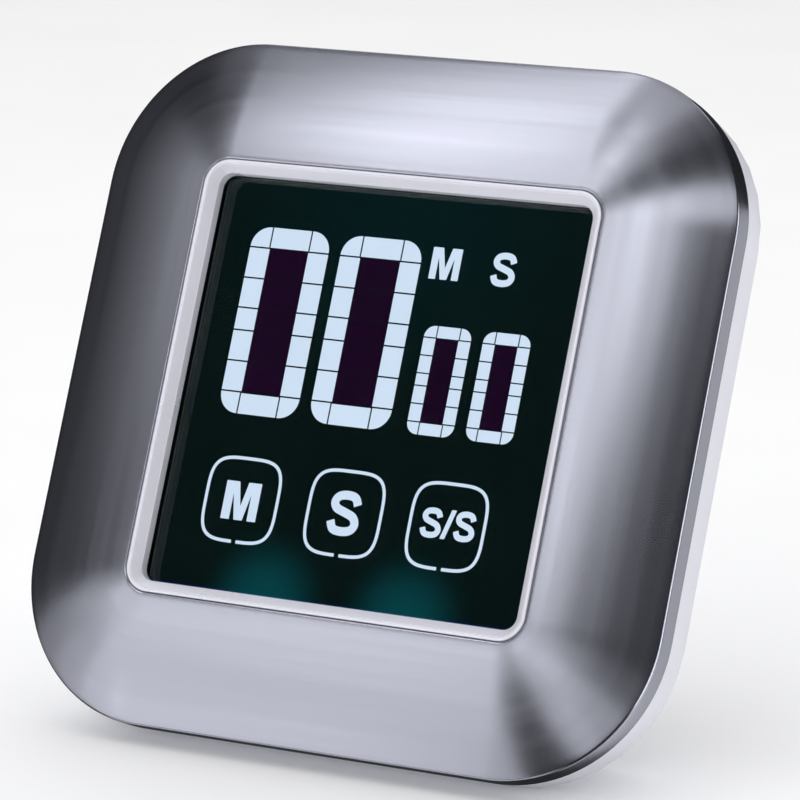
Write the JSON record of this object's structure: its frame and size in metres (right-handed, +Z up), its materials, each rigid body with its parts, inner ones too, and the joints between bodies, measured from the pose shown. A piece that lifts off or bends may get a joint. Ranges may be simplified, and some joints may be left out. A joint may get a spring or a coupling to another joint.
{
  "type": "touch-screen countdown timer",
  "caption": "Square countdown timer: a touch screen in a brushed metal front, a moulded rear cover with magnets, a battery door, a power switch and a fold-out leg.",
  "frame": {"origin": "middle of the footprint on the table, with the timer standing on its leg", "axes": "+Z up, +X to the right of someone reading the screen, -Y towards that person; the case leans back 23.3 degrees"},
  "size_m": [0.09, 0.0506, 0.0853],
  "materials": {
    "brushed_steel": "satin, brushed across",
    "polished_steel": "polished",
    "black_foam": "matt closed-cell foam",
    "black_abs": "fine moulded texture",
    "screen_glass": "glossy, dark behind",
    "clear_film": "smooth",
    "polariser_film": "satin",
    "lcd_glass": "glossy",
    "white_film": "matt",
    "acrylic": "polished",
    "led": "clear resin",
    "silicone": "matt",
    "circuit_board": "solder mask",
    "black_epoxy": "satin",
    "nickel": "plated",
    "ferrite": "matt",
    "capacitor_sleeve": "shrunk sleeve",
    "silver_abs": "fine moulded texture",
    "magnet": "sintered",
    "brass": "rolled",
    "piezo_ceramic": "silvered",
    "cell_sleeve": "printed sleeve",
    "red_wire": "insulation",
    "black_wire": "insulation",
    "screw_steel": "zinc plated"
  },
  "bodies": {
    "case": {"front_bezel": "brushed_steel", "screen_trim": "polished_steel", "glass_gasket": "black_foam", "carrier_frame": "black_abs", "touch_glass": "screen_glass", "touch_film": "clear_film", "front_polariser": "polariser_film", "lcd_cell": "lcd_glass", "rear_polariser": "polariser_film", "diffuser_film": "white_film", "light_guide": "acrylic", "reflector_film": "white_film", "backlight_led_left": "led", "backlight_led_right": "led", "zebra_strip": "silicone", "main_board": "circuit_board", "controller_blob": "black_epoxy", "touch_chip": "black_epoxy", "crystal_can": "nickel", "boost_inductor": "ferrite", "reservoir_capacitor": "capacitor_sleeve", "rear_cover": "silver_abs", "magnet_left": "magnet", "magnet_right": "magnet", "piezo_disc": "brass", "piezo_ceramic": "piezo_ceramic", "battery_upper": "cell_sleeve", "battery_lower": "cell_sleeve", "contact_negative": "nickel", "contact_positive": "nickel", "contact_bridge": "nickel", "contact_spring_upper": "nickel", "contact_spring_lower": "nickel", "battery_wire_red": "red_wire", "battery_wire_black": "black_wire", "piezo_wire_red": "red_wire", "piezo_wire_black": "black_wire", "switch_body": "nickel", "stand_pin_left": "nickel", "stand_pin_right": "nickel", "case_screw_1": "screw_steel", "case_screw_2": "screw_steel", "case_screw_3": "screw_steel", "case_screw_4": "screw_steel", "board_screw_1": "screw_steel", "board_screw_2": "screw_steel", "board_screw_3": "screw_steel", "board_screw_4": "screw_steel"},
    "stand": {"stand_leg": "silver_abs"},
    "battery_door": {"battery_door": "silver_abs"},
    "power_switch": {"power_switch_knob": "black_abs"}
  },
  "joints": [
    {"name": "stand_hinge", "type": "hinge", "parent": "case", "child": "stand", "pos_m": [0, 0.00869, 0.03715], "axis": [-1, 0, 0], "range_deg": [0, 42.1]},
    {"name": "battery_door_hinge", "type": "hinge", "parent": "case", "child": "battery_door", "pos_m": [0, 0.02159, 0.06534], "axis": [1, 0, 0], "range_deg": [0, 25]},
    {"name": "power_switch_slide", "type": "slide", "parent": "case", "child": "power_switch", "axis": [-1, 0, 0], "range_m": [0, 0.003]}
  ]
}
